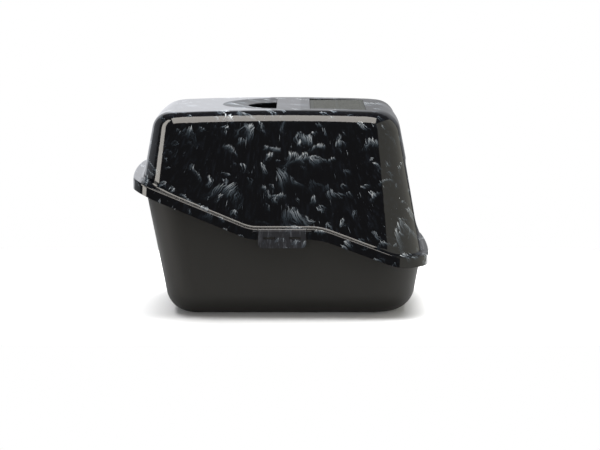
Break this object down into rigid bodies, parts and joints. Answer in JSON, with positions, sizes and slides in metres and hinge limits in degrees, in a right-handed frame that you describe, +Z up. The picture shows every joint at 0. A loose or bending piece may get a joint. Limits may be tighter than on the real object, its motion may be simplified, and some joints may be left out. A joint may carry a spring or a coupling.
{
  "type": "hooded cat litter box",
  "caption": "Hooded cat litter box: matt pan, lift-off glossy hood on a sloping rim, hanging entry flap, side clips, hand hold and lift-out carbon filter.",
  "frame": {"origin": "on the floor, under the middle of the box's outline", "axes": "+Z up; +X towards the end with the entry flap; +Y across the box, its left-right mirror direction"},
  "size_m": [0.5599, 0.3926, 0.385],
  "materials": {
    "pan": "matt moulded polypropylene, warm anthracite",
    "foot": "soft non-slip pad",
    "hood": "glossy black plastic with white marbled flow streaks",
    "cup": "glossy black",
    "tray": "matt black",
    "carbon": "carbon-loaded felt",
    "cover": "matt dark grey, slotted",
    "flap": "smoked clear plastic",
    "clip": "glossy black plastic with white streaks",
    "pin": "black nylon pin"
  },
  "bodies": {
    "base": {"base_pan": "pan", "foot_back_left": "foot", "foot_back_right": "foot", "foot_front_left": "foot", "foot_front_right": "foot"},
    "hood": {"hood_shell": "hood", "grip_cup": "cup", "filter_tray": "tray", "clip_pin_left": "pin", "clip_pin_right": "pin"},
    "filter": {"filter_cover": "cover", "carbon_filter": "carbon"},
    "flap": {"entry_flap": "flap"},
    "clip_left": {"side_clip_left": "clip"},
    "clip_right": {"side_clip_right": "clip"}
  },
  "joints": [
    {"name": "hood_lift", "type": "slide", "parent": "base", "child": "hood", "axis": [0, 0, 1], "range_m": [0, 0.3]},
    {"name": "filter_lift", "type": "slide", "parent": "hood", "child": "filter", "axis": [0, 0, 1], "range_m": [0, 0.08]},
    {"name": "flap_swing", "type": "hinge", "parent": "hood", "child": "flap", "pos_m": [0.223, 0, 0.284], "axis": [0, 1, 0], "range_deg": [-80, 80]},
    {"name": "clip_left_swing", "type": "hinge", "parent": "hood", "child": "clip_left", "pos_m": [0.002, -0.1933, 0.1672], "axis": [-1, 0, 0], "range_deg": [0, 75]},
    {"name": "clip_right_swing", "type": "hinge", "parent": "hood", "child": "clip_right", "pos_m": [0.002, 0.1933, 0.1672], "axis": [1, 0, 0], "range_deg": [0, 75]}
  ]
}
